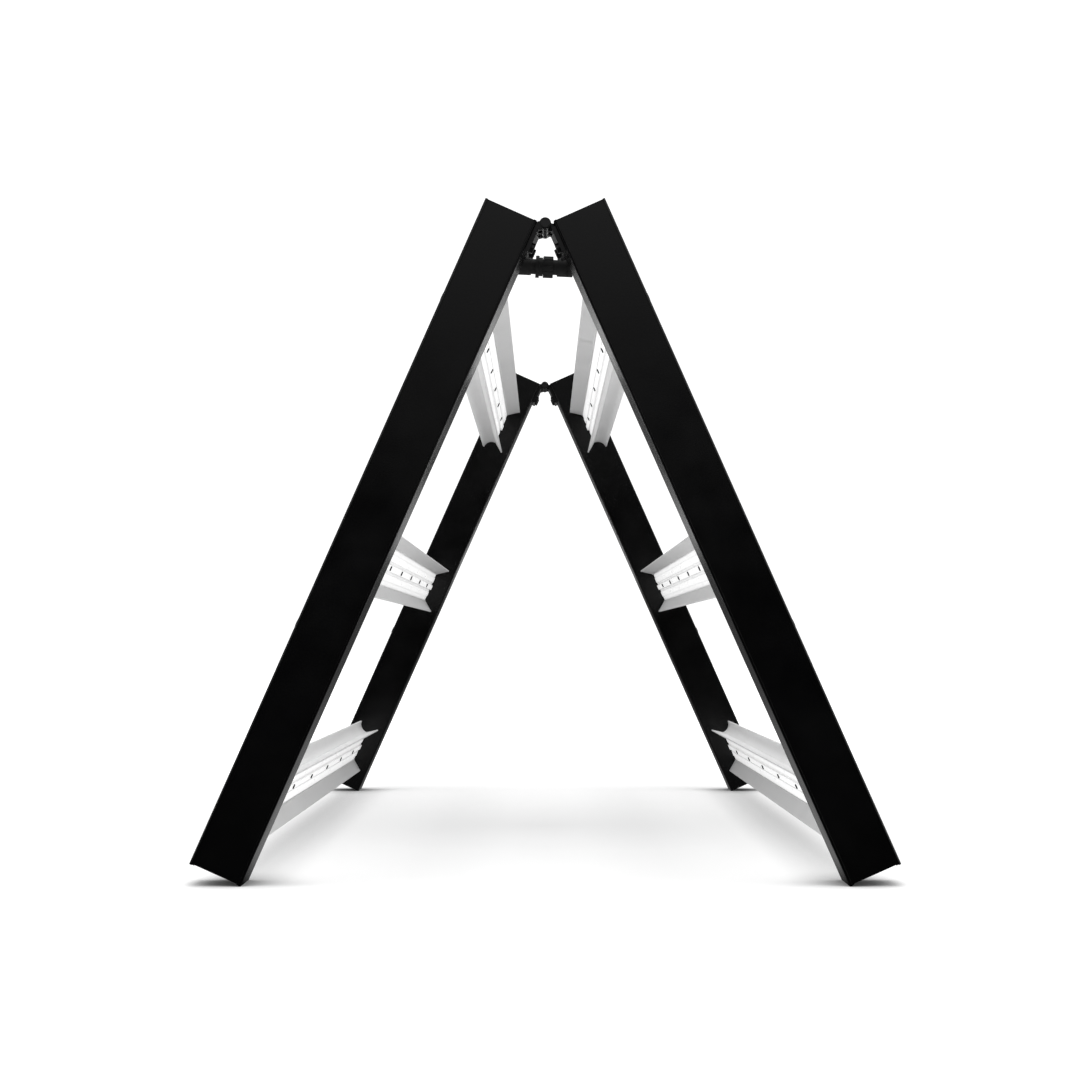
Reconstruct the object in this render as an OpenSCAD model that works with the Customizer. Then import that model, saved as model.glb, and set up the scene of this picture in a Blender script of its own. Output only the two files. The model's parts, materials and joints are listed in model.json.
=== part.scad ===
// Folding LED grow light: two leaves of three lamp bars, hinged along one edge, standing as an
// A-frame. Opened flat it is one panel of six bars; folded shut the lamps face each other.
//
// Row frame: +Z up, +Y along the hinge axis, +X across the stand. The origin is on the floor,
// midway between the feet and between the two pairs of end rails.
//
// Leaf frame: x outward from the lamp side, y along the hinge axis, z away from the hinge axis,
// with its origin on the hinge axis. on_left() and on_right() place it.
// Rail frame: the leaf frame moved so that x = 0 is the lamp-side face of an end rail and y = 0
// is its outer side. at_near() and at_far() place it.
// Bar frame: x back from the lamp-side face, y along the bar, z across it, 0 at its middle.

/* [Fixture] */
// Length over both end rails, along the hinge axis
fixture_length = 1070; // [900:10:1200]
// Lean of each leaf from upright in the standing pose
lean = 24; // [20:1:30]

/* [Rails] */
// Length of an end rail
rail_length = 545; // [540:1:600]
// Width of an end rail's side face
rail_face = 42; // [42:1:48]
// Depth of an end rail along the hinge axis
rail_depth = 48; // [48:1:56]
// Wall of the rail extrusion
rail_wall = 2; // [1.8:0.1:2.4]
// Radius of the rail's long edges
rail_corner = 1.6; // [1:0.1:2]

/* [Lamp bars] */
// Distance from the hinge axis to the middle of the first bar
first_bar = 70; // [68:1:80]
// Spacing of the bars
bar_pitch = 213; // [200:1:220]
// How far the lens face lies behind the rails' lamp-side face
lens_setback = 20.7; // [20:0.1:22]
// How far the wing tips lie behind the rails' lamp-side face
wing_setback = 8; // [6:0.1:9]
// Half width between the wings at the lens face
trough_half = 17.75; // [17.5:0.05:18.5]
// Half width over the wing tips
mouth_half = 27.7; // [27:0.1:30]
// Lens screws along each bar
lens_screws = 6; // [4:1:6]
// Spacing of the lens screws
lens_screw_pitch = 148; // [120:1:150]
// Spacing of the LED packages along a row
led_pitch = 37; // [30:1:50]

/* [Hinges] */
// Distance of the hinge axis off the rails' lamp-side face
face_offset = 6.2; // [6:0.1:8]
// Distance of the rails' ends from the hinge axis
end_gap = 1.5; // [1:0.1:3]
// Outer radius of the hinge knuckles
knuckle_r = 4.4; // [4:0.1:4.6]
// Radius of the hinge pins
pin_r = 2.5; // [2:0.1:2.8]
// Length of a hinge along its axis
hinge_width = 40; // [36:1:42]

/* [Link] */
// How far the inline connector hangs below the hinge axis
link_drop = 22.4; // [21:0.1:24]
// Droop of the connector's right end, in degrees
link_droop = 2.6; // [0:0.1:4]
// Half length of the mated connector
link_half = 24.5; // [24:0.1:26]
// Radius of the link cable
cable_r = 3.2; // [2.5:0.1:3.4]

/* [Controls] */
// Radius of the dimmer knob
knob_r = 8; // [7:0.5:9]
// Depth of the control bay behind the rail's outer side
bay_depth = 15; // [14:0.5:16]

/* [Hidden] */
$fn = 48;

// Colours
BLACK_PAINT = "#0b0b0c";
SHADE_WHITE = "#e9eaeb";
BOARD_WHITE = "#f4f4f0";
LENS_WHITE = "#fbfbfb";
LED_AMBER = "#f2d35c";
STEEL = "#8d9094";
DARK_STEEL = "#2a2b2d";
RUBBER = "#141414";
PLASTIC = "#1b1b1d";
POTTED_GREY = "#5d6064";
WIRE_RED = "#8f1d1d";

// Gaps between pieces that touch loosely, and between turning pieces
gap = 0.1;
running = 0.05;
// Overshoot of a cutting shape past the face that it cuts
past = 1;
// Overlap of two shapes that join in one solid
overlap = 0.2;
// Hex recess of a screw head, as shares of the head's radius and height
hex_width_share = 0.45;
hex_depth_share = 0.55;

// End rail: a channel open to its outer side, closed by a cover that slides in behind two lips
lip_width = 2.1;
lip_depth = 1.2;
groove_floor = 1.1;
cover_tongue = 1.1;
cover_sink = 0.3;
cover_back = lip_depth + cover_tongue + gap;
shelf_width = 3.8;
shelf_back = cover_back + gap + 1.2;
foot_inset = 0.9;
head_inset = 0.3;
rail_end = end_gap + rail_length;
inner_wall_y = rail_depth - rail_wall;
cap_depth = 12;
cap_wall = 2;

// The hinge axis is high enough for the rails' lower edges to stand on the floor
axis_z = rail_end * cos(lean) - face_offset * sin(lean);

// Lamp bar section, as depths behind the rails' lamp-side face and half widths across the bar
bar_length = fixture_length - 2 * rail_depth;
insert_length = bar_length - 2;
bar_places = [for (i = [0:2]) first_bar + i * bar_pitch];
lens_t = 1.6;
board_t = 1.2;
board_half = trough_half - 0.55;
board_front = lens_setback + lens_t;
bed_front = board_front + board_t;
bed_t = 2.5;
rib_front = lens_setback - 1.1;
rib_t = 0.7;
wing_t = 1.5;
wing_root_depth = 0.5;
wing_tip_r = 0.9;
cove_r = 10;
flange_half = 29.5;
flange_front = lens_setback + cove_r - gap;
flange_back = flange_front + 1.6;
fin_count = 7;
fin_pitch = 6.4;
fin_t = 1.4;
fin_depth = 7;
duct_half = 7;
duct_front = bed_front + bed_t;
duct_back = flange_front;
duct_mid = (duct_front + duct_back) / 2;
port_offset = 12.5;
port_r = 2;

// Lens cover and the LEDs below it
row_offset = 9;
row_ridge_half = 3;
row_ridge_h = 0.6;
mid_ridge_half = 2.8;
mid_ridge_h = 1.8;
lens_pocket_half = 3.2;
lens_pocket_h = 1.1;
led_side = 5;
led_h = 0.8;
leds_per_row = floor((bar_length - led_side) / led_pitch);
lens_screw_r = 1.25;
lens_head_r = 2.2;
lens_head_h = 1.5;
lens_head_proud = 1;
stud_r = 1.1;
stud_h = 0.5;

// Screws that hold the bars to the rails
bar_screw_r = 1.95;
bar_head_r = 3.6;
bar_head_h = 2.6;
bar_screw_reach = 14;

// Hinge leaves lie on the lamp-side faces, three knuckles on the left leaf and two on the right
knuckles = 5;
knuckle_pitch = hinge_width / knuckles;
knuckle_gap = 0.3;
leaf_t = 3.5;
leaf_start = 4.9;
leaf_end = 25;
hinge_y = rail_depth / 2;
bolt_z = 20;
bolt_spread = 12;
bolt_r = 2;
bolt_head_r = 4;
bolt_head_h = 2.4;
bolt_nut_r = 4;
bolt_nut_h = 3.2;
bolt_tail = 0.6;
web_width = 1.6;
pin_head_r = 3.6;
pin_head_t = 1.5;

// Threaded hanger inserts in the rails' outer faces, for an M6 eye bolt
hanger_z = 400;
hanger_bore_r = 2.5;
hanger_body_r = 4.5;
hanger_flange_r = 6.2;
hanger_flange_t = 1;
hanger_depth = 13;

// LED drivers inside the rails, against the outer wall
driver_start = 60;
driver_length = 310;
driver_h = 29.6;
driver_w = 32;
driver_y = 5;
driver_corner = 2;
driver_x = rail_face - rail_wall - 2 * gap - driver_h;
driver_end = driver_start + driver_length;
driver_screw_inset = 20;
driver_screw_places = [driver_start + driver_screw_inset, driver_end - driver_screw_inset];
driver_screw_r = 1.6;
driver_head_r = 3.4;
driver_head_h = 2;
driver_screw_reach = 8;

// Wiring: one trunk per rail, with a branch to each bar, to the driver and to the link cable
trunk_x = 6;
trunk_y = 40.5;
trunk_r = 2;
branch_r = 1.5;
branch_reach = 6;
lead_length = 6;
wire_hole_r = 4;
grommet_flange_r = 5;
grommet_flange_t = 1;

// Link connector between the leaves
link_grommet_x = 20.8;
link_grommet_v = link_grommet_x + face_offset;
link_grommet_z = (link_drop + link_grommet_v * sin(lean)) / cos(lean);
link_grommet_r = 5.4;
link_grommet_flange_r = 6.8;
link_grommet_flange_t = 1.5;
link_grommet_out = 2;
link_exit = link_grommet_out + 0.5;
link_hole_r = link_grommet_r + gap;
link_reach = link_grommet_z * sin(lean) + link_grommet_v * cos(lean);
link_gap = 0.3;
link_bend = link_reach - link_half - link_gap;
link_y = -fixture_length / 2 + rail_depth + link_exit + link_bend;
link_collar_r = 5.6;
link_plug_r = 6.8;
link_socket_r = 7;
link_neck_r = 5.85;
link_ring_r = 8.55;
link_throat_r = 7.2;
link_sleeve_r = 5.9;
link_nut_r = 8.35;
link_collar_t = 3;
link_body_end = 10.9;
link_ring_far = 7.4;
link_ring_near = 4.65;
link_throat_end = 1.75;
link_nut_start = -1.55;
link_nut_end = 6.2;
link_sleeve_end = 5.6;
link_seal_t = 0.8;
link_socket_start = link_sleeve_end + link_seal_t;
link_socket_body = 9.3;
link_teeth = 24;
link_teeth_x = 16.3;
link_teeth_w = 1.6;
link_tooth_r = 0.45;
link_grips = 12;
link_grip_r = 0.9;
link_grip_out = 0.4;
link_seal_inner = 4.1;
cable_tail = 1;
contact_r = 1;
contact_ring = 2.8;
contact_back = -6;
contact_front = 14;

// Control bay in the outer side of the left far rail
bay_wall = 1.5;
bay_x = 5.5;
bay_z = 424;
bay_width = 31;
bay_length = 92;
bay_mid = rail_face / 2;
dimmer_z = 443;
jack_z = 468;
inlet_z = 496;
shaft_r = 3;
shaft_front = 5;
shaft_back = 24;
shaft_fit = 0.02;
shaft_hole_r = 3.3;
dimmer_side = 14;
dimmer_back = 27;
knob_front = 3.2;
knob_back = 13.8;
knob_grips = 18;
knob_grip_r = 0.7;
knob_grip_out = 0.3;
knob_skirt = 2;
pointer_w = 1;
pointer_sink = 0.5;
pointer_inset = 1.5;
// Share of a turn, in degrees at the foot of the dial, that the dimmer's travel leaves out
dial_gap = 60;
inlet_r = 8;
inlet_front = 4;
inlet_flange = 24;
inlet_flange_t = 1.6;
inlet_back = 30;
inlet_well_r = 6;
inlet_well = 8;
inlet_pin_r = 1.2;
inlet_pin_ring = 3.2;
inlet_pin_sink = 1;
jack_w = 14;
jack_l = 12;
jack_wall = 1.5;
jack_back = 28;
jack_sink = 1;
jack_well = 9;
jack_cap_t = 2.2;
jack_cap_rim = 1;
jack_plug = 5;
supply_z = inlet_z - inlet_r + trunk_r;

// ---- Placing ----

module on_left() {
  translate([0, 0, axis_z])
    rotate([0, 180 + lean, 0])
      children();
}

module on_right() {
  mirror([1, 0, 0])
    on_left()
      children();
}

module at_near() {
  translate([face_offset, -fixture_length / 2, 0])
    children();
}

module at_far() {
  mirror([0, 1, 0])
    at_near()
      children();
}

module at_both_ends() {
  at_near()
    children();
  at_far()
    children();
}

module at_bar(z) {
  translate([face_offset, 0, z])
    children();
}

module at_each_bar() {
  for (z = bar_places)
    at_bar(z)
      children();
}

module at_link() {
  translate([0, link_y, axis_z - link_drop])
    rotate([0, link_droop, 0])
      rotate([0, 90, 0])
        children();
}

// ---- Shared shapes ----

module rounded_rect(size, r) {
  translate([r, 0])
    square([size.x - 2 * r, size.y]);
  translate([0, r])
    square([size.x, size.y - 2 * r]);
  for (x = [r, size.x - r], y = [r, size.y - r])
    translate([x, y])
      circle(r);
}

// A straight strip of thickness t whose middle line runs from a to b
module strip(a, b, t) {
  run = b - a;
  turn = atan2(run.y, run.x);
  translate(a)
    rotate(turn)
      translate([0, -t / 2])
        square([norm(run), t]);
}

module rod_x(r, length) {
  rotate([0, 90, 0])
    cylinder(r = r, h = length);
}

module rod_y(r, length) {
  rotate([-90, 0, 0])
    cylinder(r = r, h = length);
}

// Hex recess cut along z into the outer face, at z = 0, of a screw head
module hex_recess(head_r, head_h) {
  translate([0, 0, -past])
    cylinder(r = head_r * hex_width_share, h = past + head_h * hex_depth_share, $fn = 6);
}

// ---- End rails ----

module rail_section() {
  difference() {
    rounded_rect([rail_face, rail_depth], rail_corner);
    translate([lip_width, -past])
      square([rail_face - 2 * lip_width, lip_depth + 2 * past]);
    translate([groove_floor, lip_depth])
      square([rail_face - 2 * groove_floor, cover_back + gap - lip_depth]);
    translate([shelf_width, 0])
      square([rail_face - 2 * shelf_width, shelf_back + past]);
    translate([rail_wall, shelf_back])
      square([rail_face - 2 * rail_wall, inner_wall_y - shelf_back]);
  }
}

module inner_wall_hole(x, z, r) {
  translate([x, inner_wall_y - past, z])
    rod_y(r, rail_wall + 2 * past);
}

module outer_wall_hole(y, z, r) {
  translate([rail_face - rail_wall - past, y, z])
    rod_x(r, rail_wall + 2 * past);
}

module rail(link = false) {
  difference() {
    translate([0, 0, end_gap])
      linear_extrude(rail_length)
        rail_section();
    for (z = bar_places) {
      inner_wall_hole(duct_mid, z, wire_hole_r + gap);
      for (side = [-1, 1])
        inner_wall_hole(duct_mid, z + side * port_offset, bar_screw_r + gap);
    }
    for (y = [hinge_y - bolt_spread, hinge_y + bolt_spread])
      translate([-past, y, bolt_z])
        rod_x(bolt_r + gap, rail_wall + 2 * past);
    for (z = driver_screw_places)
      outer_wall_hole(driver_y + driver_w / 2, z, driver_screw_r + gap);
    outer_wall_hole(rail_depth / 2, hanger_z, hanger_body_r);
    if (link)
      inner_wall_hole(link_grommet_x, link_grommet_z, link_hole_r);
  }
}

module cover_section() {
  translate([lip_width + gap, cover_sink])
    square([rail_face - 2 * (lip_width + gap), cover_back - cover_sink]);
  translate([groove_floor + gap, lip_depth + gap])
    square([rail_face - 2 * (groove_floor + gap), cover_tongue]);
}

module cover() {
  translate([0, 0, end_gap + head_inset])
    linear_extrude(rail_length - head_inset - foot_inset)
      cover_section();
}

module bay_opening() {
  translate([bay_x - gap, -past, bay_z - gap])
    cube([bay_width + 2 * gap, cover_back + 2 * past, bay_length + 2 * gap]);
}

// Hollow plug in the open end of a rail, its closed face at z = 0 and its rim inside the rail
module cap() {
  width = rail_face - 2 * (rail_wall + gap);
  depth = inner_wall_y - shelf_back - 2 * gap;
  tongue = rail_face - 2 * (shelf_width + gap);
  difference() {
    union() {
      translate([rail_wall + gap, shelf_back + gap, 0])
        cube([width, depth, cap_depth]);
      translate([shelf_width + gap, cover_back + gap, 0])
        cube([tongue, shelf_back + 2 * gap - cover_back, cap_depth]);
    }
    translate([rail_wall + gap + cap_wall, shelf_back + gap + cap_wall, cap_wall])
      cube([width - 2 * cap_wall, depth - 2 * cap_wall, cap_depth]);
  }
}

module head_cap() {
  translate([0, 0, end_gap + head_inset])
    cap();
}

module foot_cap() {
  translate([0, 0, rail_end - foot_inset])
    mirror([0, 0, 1])
      cap();
}

// ---- Lamp bars ----

module wing_half() {
  root = [rib_front + wing_root_depth, trough_half + wing_t / 2 - gap];
  tip = [wing_setback + wing_tip_r, mouth_half - wing_tip_r];
  strip(root, tip, wing_t);
  translate(tip)
    circle(wing_tip_r);
  translate([rib_front, trough_half])
    square([bed_front + bed_t - rib_front, wing_t]);
  translate([rib_front, trough_half - rib_t])
    square([rib_t, rib_t + overlap]);
}

module bar_core() {
  difference() {
    translate([lens_setback, -flange_half])
      square([flange_back - lens_setback, 2 * flange_half]);
    for (side = [-1, 1])
      translate([lens_setback, side * flange_half])
        circle(cove_r);
    translate([lens_setback - past, -trough_half])
      square([bed_front - lens_setback + past, 2 * trough_half]);
    translate([duct_front, -duct_half])
      square([duct_back - duct_front, 2 * duct_half]);
    for (side = [-1, 1])
      translate([duct_mid, side * port_offset])
        circle(port_r);
  }
}

module bar_section() {
  bar_core();
  wing_half();
  mirror([0, 1])
    wing_half();
  for (i = [0:fin_count - 1])
    translate([flange_back - overlap, (i - (fin_count - 1) / 2) * fin_pitch - fin_t / 2])
      square([fin_depth + overlap, fin_t]);
}

// Stretches a section drawn in (x, z) along the bar
module along_bar(length) {
  rotate([90, 0, 0])
    linear_extrude(length, center = true)
      children();
}

// Puts children at count places along the bar, a screw pitch apart
module at_lens_places(count) {
  for (i = [0:count - 1])
    translate([0, (i - (count - 1) / 2) * lens_screw_pitch, 0])
      children();
}

module at_lens_screws() {
  at_lens_places(lens_screws)
    children();
}

module bar() {
  difference() {
    along_bar(bar_length)
      bar_section();
    at_lens_screws()
      translate([bed_front - past, 0, 0])
        rod_x(lens_screw_r + running, bed_t + 2 * past);
  }
}

module led_board() {
  difference() {
    translate([board_front, -insert_length / 2, -board_half])
      cube([board_t, insert_length, 2 * board_half]);
    at_lens_screws()
      translate([board_front - past, 0, 0])
        rod_x(lens_screw_r + gap, board_t + 2 * past);
  }
}

module led_row() {
  first_y = -(leds_per_row - 1) / 2 * led_pitch;
  for (i = [0:leds_per_row - 1])
    translate([board_front - led_h, first_y + i * led_pitch - led_side / 2, -led_side / 2])
      cube([led_h, led_side, led_side]);
}

module led_rows() {
  for (side = [-1, 1])
    translate([0, 0, side * row_offset])
      led_row();
}

module lens_section() {
  difference() {
    union() {
      translate([lens_setback, -board_half])
        square([lens_t, 2 * board_half]);
      translate([lens_setback - mid_ridge_h, -mid_ridge_half])
        square([mid_ridge_h + overlap, 2 * mid_ridge_half]);
      for (side = [-1, 1])
        translate([lens_setback - row_ridge_h, side * row_offset - row_ridge_half])
          square([row_ridge_h + overlap, 2 * row_ridge_half]);
    }
    for (side = [-1, 1])
      translate([board_front - lens_pocket_h, side * row_offset - lens_pocket_half])
        square([lens_pocket_h + past, 2 * lens_pocket_half]);
  }
}

// The cover with its screw seats, and small studs on the outer ridges midway between the screws
module lens_cover() {
  difference() {
    along_bar(insert_length)
      lens_section();
    at_lens_screws() {
      translate([lens_setback - mid_ridge_h - past, 0, 0])
        rod_x(lens_head_r + gap, lens_head_h - lens_head_proud + past);
      translate([lens_setback - mid_ridge_h, 0, 0])
        rod_x(lens_screw_r + gap, mid_ridge_h + lens_t + past);
    }
  }
  at_lens_places(lens_screws - 1)
    for (side = [-1, 1])
      translate([lens_setback - row_ridge_h - stud_h, 0, side * row_offset])
        rod_x(stud_r, stud_h + overlap);
}

module lens_screw() {
  head_x = lens_setback - mid_ridge_h - lens_head_proud;
  difference() {
    union() {
      translate([head_x, 0, 0])
        rod_x(lens_head_r, lens_head_h);
      translate([head_x + lens_head_h - overlap, 0, 0])
        rod_x(lens_screw_r, duct_front - head_x - lens_head_h);
    }
    translate([head_x, 0, 0])
      rotate([0, 90, 0])
        hex_recess(lens_head_r, lens_head_h);
  }
}

module bar_screw() {
  translate([0, inner_wall_y - bar_head_h, 0]) {
    difference() {
      rod_y(bar_head_r, bar_head_h);
      rotate([-90, 0, 0])
        hex_recess(bar_head_r, bar_head_h);
    }
    translate([0, bar_head_h - overlap, 0])
      rod_y(bar_screw_r, bar_screw_reach + overlap);
  }
}

module bar_screw_set() {
  for (z = bar_places, side = [-1, 1])
    translate([duct_mid, 0, z + side * port_offset])
      bar_screw();
}

// ---- Inside the rails ----

module driver() {
  difference() {
    translate([driver_x, driver_y, driver_start])
      linear_extrude(driver_length)
        rounded_rect([driver_h, driver_w], driver_corner);
    for (z = driver_screw_places)
      translate([driver_x + driver_h - driver_screw_reach, driver_y + driver_w / 2, z])
        rod_x(driver_screw_r + gap, driver_screw_reach + past);
  }
}

module driver_screw() {
  translate([rail_face, driver_y + driver_w / 2, 0]) {
    translate([-driver_screw_reach, 0, 0])
      rod_x(driver_screw_r, driver_screw_reach + overlap);
    difference() {
      rod_x(driver_head_r, driver_head_h);
      translate([driver_head_h, 0, 0])
        rotate([0, -90, 0])
          hex_recess(driver_head_r, driver_head_h);
    }
  }
}

module driver_screw_set() {
  for (z = driver_screw_places)
    translate([0, 0, z])
      driver_screw();
}

// Branch of the wiring at height z: across to x, then out through the inner wall to y
module branch(x, z, y) {
  translate([trunk_x, trunk_y, z])
    rod_x(branch_r, x - trunk_x);
  translate([x, trunk_y, z]) {
    sphere(branch_r);
    rod_y(branch_r, y - trunk_y);
  }
}

module driver_lead() {
  lead_z = driver_end + lead_length;
  lead_y = driver_y + driver_w / 2;
  lead_x = driver_x + driver_h / 2;
  translate([trunk_x, lead_y, lead_z]) {
    rod_y(branch_r, trunk_y - lead_y);
    sphere(branch_r);
    rod_x(branch_r, lead_x - trunk_x);
  }
  translate([lead_x, lead_y, lead_z]) {
    sphere(branch_r);
    translate([0, 0, -lead_length])
      cylinder(r = branch_r, h = lead_length);
  }
}

module harness(start) {
  translate([trunk_x, trunk_y, start])
    cylinder(r = trunk_r, h = bar_places[2] - start + trunk_r);
  for (z = bar_places)
    branch(duct_mid, z, rail_depth + branch_reach);
  driver_lead();
}

module near_harness() {
  harness(link_grommet_z - trunk_r);
  branch(link_grommet_x, link_grommet_z, inner_wall_y - link_grommet_flange_t);
}

// Supply lead from the mains inlet to the trunk
module supply_lead() {
  translate([trunk_x, inlet_back + branch_r, supply_z]) {
    rod_y(branch_r, trunk_y - inlet_back - branch_r);
    sphere(branch_r);
    rod_x(branch_r, bay_mid - trunk_x);
  }
}

module wire_grommet() {
  difference() {
    union() {
      translate([0, inner_wall_y - grommet_flange_t, 0])
        rod_y(grommet_flange_r, grommet_flange_t);
      translate([0, inner_wall_y - gap, 0])
        rod_y(wire_hole_r, rail_wall);
    }
    translate([0, inner_wall_y - grommet_flange_t - past, 0])
      rod_y(branch_r + gap, rail_wall + grommet_flange_t + 2 * past);
  }
}

module wire_grommet_set() {
  for (z = bar_places)
    translate([duct_mid, 0, z])
      wire_grommet();
}

// ---- Hanger inserts ----

module hanger_nut() {
  translate([rail_face, rail_depth / 2, hanger_z])
    difference() {
      union() {
        rod_x(hanger_flange_r, hanger_flange_t);
        translate([-hanger_depth, 0, 0])
          rod_x(hanger_body_r - running, hanger_depth + overlap);
      }
      translate([-hanger_depth - past, 0, 0])
        rod_x(hanger_bore_r, hanger_depth + hanger_flange_t + 2 * past);
    }
}

// ---- Hinges ----

// One leaf of a hinge, on the knuckles listed in own
module hinge_leaf(own) {
  first_y = hinge_y - hinge_width / 2 + knuckle_pitch - knuckle_gap / 2;
  difference() {
    union() {
      translate([-leaf_t, hinge_y - hinge_width / 2, leaf_start])
        cube([leaf_t, hinge_width, leaf_end - leaf_start]);
      for (i = own)
        translate([-face_offset, first_y + i * knuckle_pitch, 0])
          rotate([90, 0, 0])
            linear_extrude(knuckle_pitch - knuckle_gap) {
              circle(knuckle_r);
              polygon([
                [0, knuckle_r],
                [face_offset - leaf_t, leaf_start + web_width],
                [face_offset, leaf_start + web_width],
                [face_offset, end_gap + gap],
                [knuckle_r - overlap, 0]
              ]);
            }
    }
    translate([-face_offset, hinge_y - hinge_width / 2 - past, 0])
      rod_y(pin_r + running, hinge_width + 2 * past);
    for (y = [hinge_y - bolt_spread, hinge_y + bolt_spread])
      translate([-leaf_t - past, y, bolt_z])
        rod_x(bolt_r + gap, leaf_t + 2 * past);
  }
}

module hinge_bolt() {
  difference() {
    union() {
      translate([-leaf_t - bolt_head_h, 0, 0])
        rod_x(bolt_head_r, bolt_head_h);
      translate([-leaf_t - overlap, 0, 0])
        rod_x(bolt_r, overlap + leaf_t + rail_wall + bolt_nut_h + bolt_tail);
    }
    translate([-leaf_t - bolt_head_h, 0, 0])
      rotate([0, 90, 0])
        hex_recess(bolt_head_r, bolt_head_h);
  }
  translate([rail_wall + gap, 0, 0])
    difference() {
      rotate([0, 90, 0])
        cylinder(r = bolt_nut_r, h = bolt_nut_h, $fn = 6);
      translate([-past, 0, 0])
        rod_x(bolt_r + running, bolt_nut_h + 2 * past);
    }
}

module hinge_bolt_set() {
  for (y = [hinge_y - bolt_spread, hinge_y + bolt_spread])
    translate([0, y, bolt_z])
      hinge_bolt();
}

module hinge_pin() {
  translate([0, hinge_y - hinge_width / 2 - gap, 0]) {
    rod_y(pin_r, hinge_width + 2 * gap);
    translate([0, -pin_head_t, 0])
      rod_y(pin_head_r, pin_head_t);
    translate([0, hinge_width + 2 * gap, 0])
      rod_y(pin_head_r, pin_head_t);
  }
}

// ---- Link between the leaves ----

// A turned piece from [axial place, radius] steps, each step holding to the next place.
// The pieces of the connector share one axis, local z, 0 at the middle of the stand.
module turned(steps) {
  for (i = [0:len(steps) - 2])
    translate([0, 0, steps[i][0]])
      cylinder(r = steps[i][1], h = steps[i + 1][0] - steps[i][0]);
}

module at_contacts() {
  for (i = [0:2])
    rotate(i * 120)
      translate([contact_ring, 0, 0])
        children();
}

module contact_bores() {
  at_contacts()
    translate([0, 0, contact_back])
      cylinder(r = contact_r + running, h = contact_front - contact_back);
}

module plug_shape() {
  difference() {
    turned([
      [-link_half, link_collar_r],
      [-link_half + link_collar_t, link_plug_r],
      [-link_body_end, link_neck_r],
      [-link_ring_far, link_ring_r],
      [-link_ring_near, link_throat_r],
      [-link_throat_end, link_sleeve_r],
      [link_sleeve_end, 0]
    ]);
    contact_bores();
  }
}

module socket_shape() {
  difference() {
    turned([
      [link_socket_start, link_neck_r],
      [link_socket_body, link_socket_r],
      [link_half - link_collar_t, link_collar_r],
      [link_half, 0]
    ]);
    contact_bores();
    for (i = [0:link_teeth - 1])
      rotate(i * 360 / link_teeth)
        translate([link_socket_r, 0, link_teeth_x])
          cylinder(r = link_tooth_r, h = link_teeth_w);
  }
}

module seal_shape() {
  difference() {
    translate([0, 0, link_sleeve_end])
      cylinder(r = link_neck_r, h = link_seal_t);
    translate([0, 0, link_sleeve_end - past])
      cylinder(r = link_seal_inner, h = link_seal_t + 2 * past);
  }
}

module nut_shape() {
  length = link_nut_end - link_nut_start;
  difference() {
    translate([0, 0, link_nut_start])
      cylinder(r = link_nut_r, h = length);
    translate([0, 0, link_nut_start - past])
      cylinder(r = link_sleeve_r + running, h = length + 2 * past);
    for (i = [0:link_grips - 1])
      rotate(i * 360 / link_grips)
        translate([link_nut_r + link_grip_out, 0, link_nut_start - past])
          cylinder(r = link_grip_r, h = length + 2 * past);
  }
}

module contact_shape() {
  at_contacts()
    translate([0, 0, contact_back + gap])
      cylinder(r = contact_r, h = contact_front - contact_back - 2 * gap);
}

// Cable of the left leaf: out through its grommet, then a quarter turn to the back of the plug
module link_cable() {
  wall_y = -fixture_length / 2 + inner_wall_y;
  exit_y = link_exit + rail_wall;
  translate([-link_reach, wall_y - cable_tail, axis_z - link_drop])
    rod_y(cable_r, cable_tail + exit_y);
  translate([-link_half - link_gap, wall_y + exit_y, axis_z - link_drop])
    rotate(90)
      rotate_extrude(angle = 90)
        translate([link_bend, 0])
          circle(cable_r);
}

module link_grommet() {
  translate([link_grommet_x, inner_wall_y, link_grommet_z])
    difference() {
      union() {
        translate([0, -link_grommet_flange_t, 0])
          rod_y(link_grommet_flange_r, link_grommet_flange_t);
        translate([0, -gap, 0])
          rod_y(link_grommet_r, rail_wall + 2 * gap);
        translate([0, rail_wall, 0])
          rod_y(link_grommet_flange_r, link_grommet_out);
      }
      translate([0, -link_grommet_flange_t - past, 0])
        rod_y(cable_r + gap, rail_wall + link_grommet_flange_t + link_grommet_out + 2 * past);
    }
}

// ---- Control bay ----

module tray_shape() {
  hole_depth = bay_wall + 2 * past;
  difference() {
    translate([bay_x, cover_sink, bay_z])
      cube([bay_width, bay_depth + bay_wall - cover_sink, bay_length]);
    translate([bay_x + bay_wall, cover_sink - past, bay_z + bay_wall])
      cube([bay_width - 2 * bay_wall, bay_depth - cover_sink + past, bay_length - 2 * bay_wall]);
    translate([bay_mid, bay_depth - past, dimmer_z])
      rod_y(shaft_hole_r, hole_depth);
    translate([bay_mid, bay_depth - past, inlet_z])
      rod_y(inlet_r + gap, hole_depth);
    translate([bay_mid - jack_w / 2 - gap, bay_depth - past, jack_z - jack_l / 2 - gap])
      cube([jack_w + 2 * gap, hole_depth, jack_l + 2 * gap]);
  }
}

module inlet_shape() {
  translate([bay_mid, 0, inlet_z]) {
    difference() {
      union() {
        translate([0, inlet_front, 0])
          rod_y(inlet_r, inlet_back - inlet_front);
        translate([-inlet_flange / 2, bay_depth - inlet_flange_t, -inlet_flange / 2])
          cube([inlet_flange, inlet_flange_t, inlet_flange]);
      }
      translate([0, inlet_front - past, 0])
        rod_y(inlet_well_r, inlet_well + past);
    }
    for (i = [0:2])
      rotate([0, i * 120 + 90, 0])
        translate([inlet_pin_ring, inlet_front + inlet_pin_sink, 0])
          rod_y(inlet_pin_r, inlet_well);
  }
}

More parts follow.
